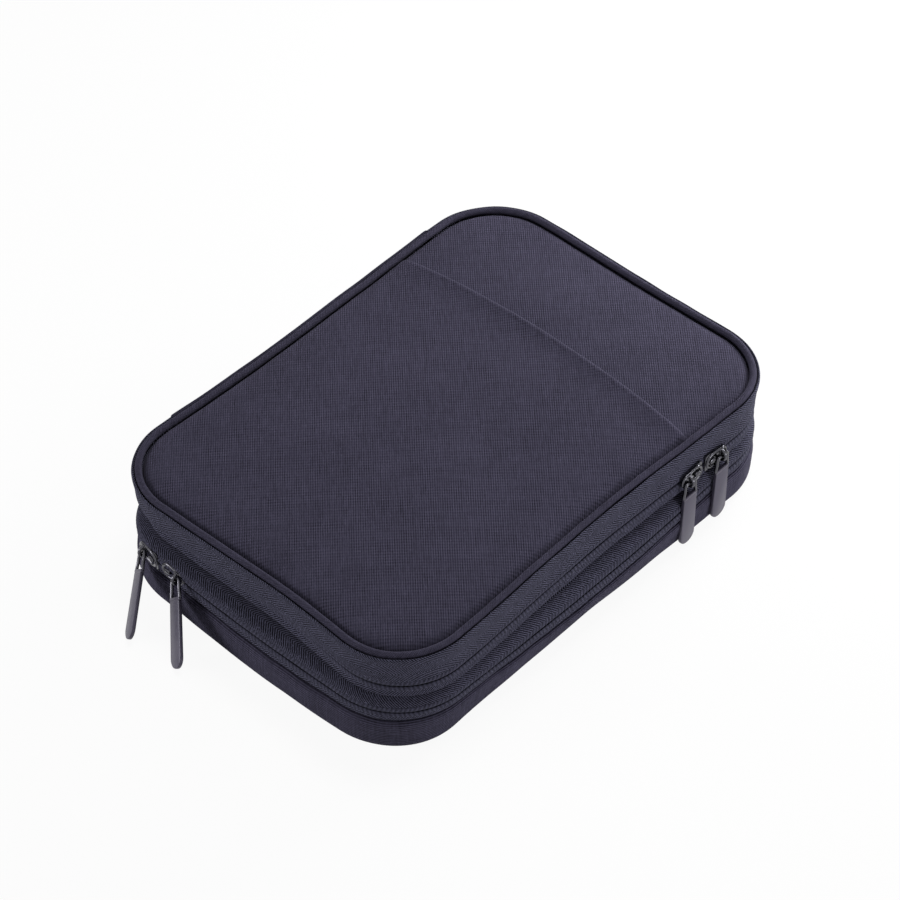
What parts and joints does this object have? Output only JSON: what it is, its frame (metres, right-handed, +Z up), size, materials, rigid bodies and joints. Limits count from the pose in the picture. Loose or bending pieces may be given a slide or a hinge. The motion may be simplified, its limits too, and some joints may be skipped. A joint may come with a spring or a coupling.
{
  "type": "zip battery storage case",
  "caption": "Flat soft case with a shallow lid compartment over a deeper tray, each closed by its own zip with sliders and pulls, and a slip pocket on the lid.",
  "frame": {"origin": "centre of the flat bottom of the tray, on the surface that it rests on", "axes": "+Z up; +Y along the spine, from the end with the lower sliders to the end with the pocket's mouth; +X from the spine to the opening side"},
  "size_m": [0.1589, 0.2374, 0.0546],
  "materials": {
    "shell_cloth": "matte woven polyester",
    "piping_cloth": "matte woven polyester over a cord",
    "lining_cloth": "coated lining cloth",
    "binding_tape": "grosgrain tape",
    "zip_tape": "herringbone tape",
    "zip_coil": "nylon coil",
    "elastic": "woven elastic",
    "mesh": "open knit mesh",
    "slider_metal": "glossy black",
    "tab_metal": "satin dark grey"
  },
  "bodies": {
    "tray": {"tray_shell": "shell_cloth", "tray_lining": "lining_cloth", "tray_binding": "binding_tape", "tray_zip_tape": "zip_tape", "tray_zip_coil": "zip_coil", "spine_tray": "shell_cloth"},
    "leaf": {"leaf_lower_zip_tape": "zip_tape", "leaf_lower_zip_coil": "zip_coil", "leaf_divider": "lining_cloth", "leaf_edge_binding": "binding_tape", "leaf_elastic_loops": "elastic", "leaf_upper_zip_tape": "zip_tape", "leaf_upper_zip_coil": "zip_coil", "spine_leaf": "shell_cloth"},
    "lid": {"lid_panel": "shell_cloth", "lid_slip_pocket": "shell_cloth", "lid_piping": "piping_cloth", "lid_lining": "lining_cloth", "lid_binding": "binding_tape", "lid_mesh": "mesh", "lid_mesh_edge": "elastic", "lid_zip_tape": "zip_tape", "lid_zip_coil": "zip_coil", "spine_lid": "shell_cloth"},
    "lower_a_slider": {"lower_slider_a": "slider_metal", "lower_bail_a": "slider_metal"},
    "lower_a_pull": {"lower_eye_a": "slider_metal", "lower_tab_a": "tab_metal"},
    "lower_b_slider": {"lower_slider_b": "slider_metal", "lower_bail_b": "slider_metal"},
    "lower_b_pull": {"lower_eye_b": "slider_metal", "lower_tab_b": "tab_metal"},
    "upper_a_slider": {"upper_slider_a": "slider_metal", "upper_bail_a": "slider_metal"},
    "upper_a_pull": {"upper_eye_a": "slider_metal", "upper_tab_a": "tab_metal"},
    "upper_b_slider": {"upper_slider_b": "slider_metal", "upper_bail_b": "slider_metal"},
    "upper_b_pull": {"upper_eye_b": "slider_metal", "upper_tab_b": "tab_metal"}
  },
  "joints": [
    {"name": "lower_opening", "type": "hinge", "parent": "tray", "child": "leaf", "pos_m": [-0.0782, 0, 0.021], "axis": [0, -1, 0], "range_deg": [0, 90]},
    {"name": "upper_opening", "type": "hinge", "parent": "leaf", "child": "lid", "pos_m": [-0.0782, 0, 0.0352], "axis": [0, -1, 0], "range_deg": [0, 90]},
    {"name": "lower_a_run", "type": "hinge", "parent": "tray", "child": "lower_a_slider", "pos_m": [-0.0465, -0.0765, 0.021], "axis": [0, 0, 1], "range_deg": [-68, 0]},
    {"name": "lower_b_run", "type": "slide", "parent": "tray", "child": "lower_b_slider", "axis": [-1, 0, 0], "range_m": [-0.078, 0]},
    {"name": "upper_a_run", "type": "slide", "parent": "leaf", "child": "upper_a_slider", "axis": [0, 1, 0], "range_m": [-0.118, 0]},
    {"name": "upper_b_run", "type": "slide", "parent": "leaf", "child": "upper_b_slider", "axis": [0, -1, 0], "range_m": [-0.0068, 0]},
    {"name": "lower_a_lift", "type": "hinge", "parent": "lower_a_slider", "child": "lower_a_pull", "pos_m": [-0.05551, -0.10735, 0.021], "axis": [-0.6917, 0.147, -0.7071], "range_deg": [0, 115]},
    {"name": "lower_b_lift", "type": "hinge", "parent": "lower_b_slider", "child": "lower_b_pull", "pos_m": [-0.0366, -0.10855, 0.021], "axis": [-0.7071, 0, -0.7071], "range_deg": [0, 115]},
    {"name": "upper_a_lift", "type": "hinge", "parent": "upper_a_slider", "child": "upper_a_pull", "pos_m": [0.07855, 0.0466, 0.0352], "axis": [0, -1, 0], "range_deg": [0, 160]},
    {"name": "upper_b_lift", "type": "hinge", "parent": "upper_b_slider", "child": "upper_b_pull", "pos_m": [0.07855, 0.0654, 0.0352], "axis": [0, -1, 0], "range_deg": [0, 160]}
  ]
}
